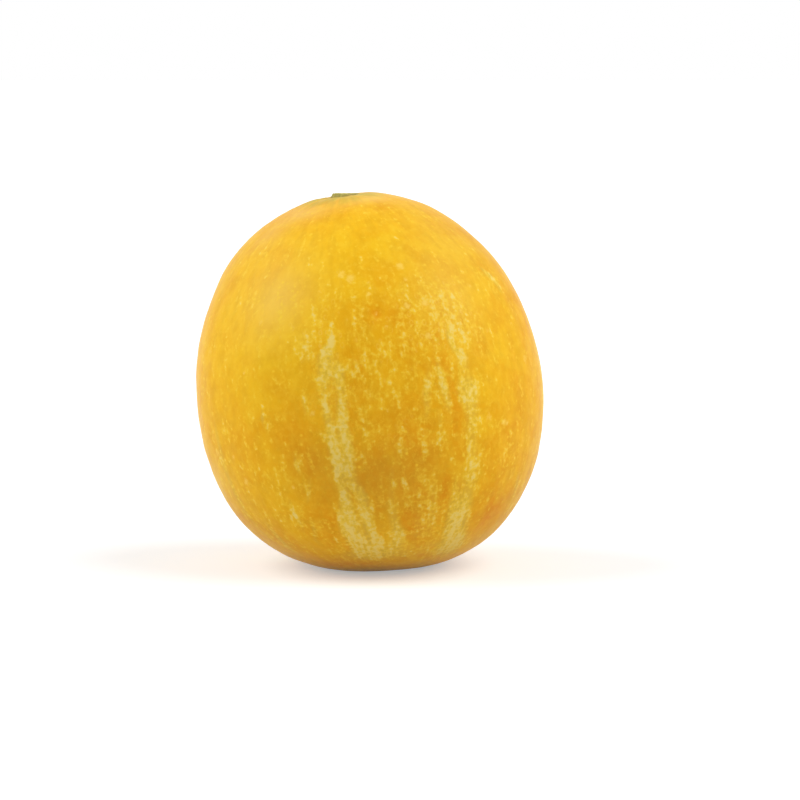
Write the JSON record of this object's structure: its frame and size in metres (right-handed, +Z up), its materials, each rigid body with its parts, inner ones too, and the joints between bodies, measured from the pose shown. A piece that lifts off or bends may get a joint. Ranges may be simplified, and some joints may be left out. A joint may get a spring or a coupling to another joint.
{
  "type": "melon",
  "caption": "Whole round yellow melon with the cut stump of its stem, leaning a little and resting on a small flat spot beside its blossom end.",
  "frame": {"origin": "on the flat resting spot, right below the fruit's middle", "axes": "+Z up; -Y is the front; the fruit's own axis leans towards -X at the stem end"},
  "size_m": [0.1379, 0.1389, 0.1492],
  "materials": {
    "rind": "satin",
    "stem": "matte"
  },
  "bodies": {
    "root": {"fruit": "rind", "stem_stump": "stem"}
  },
  "joints": []
}
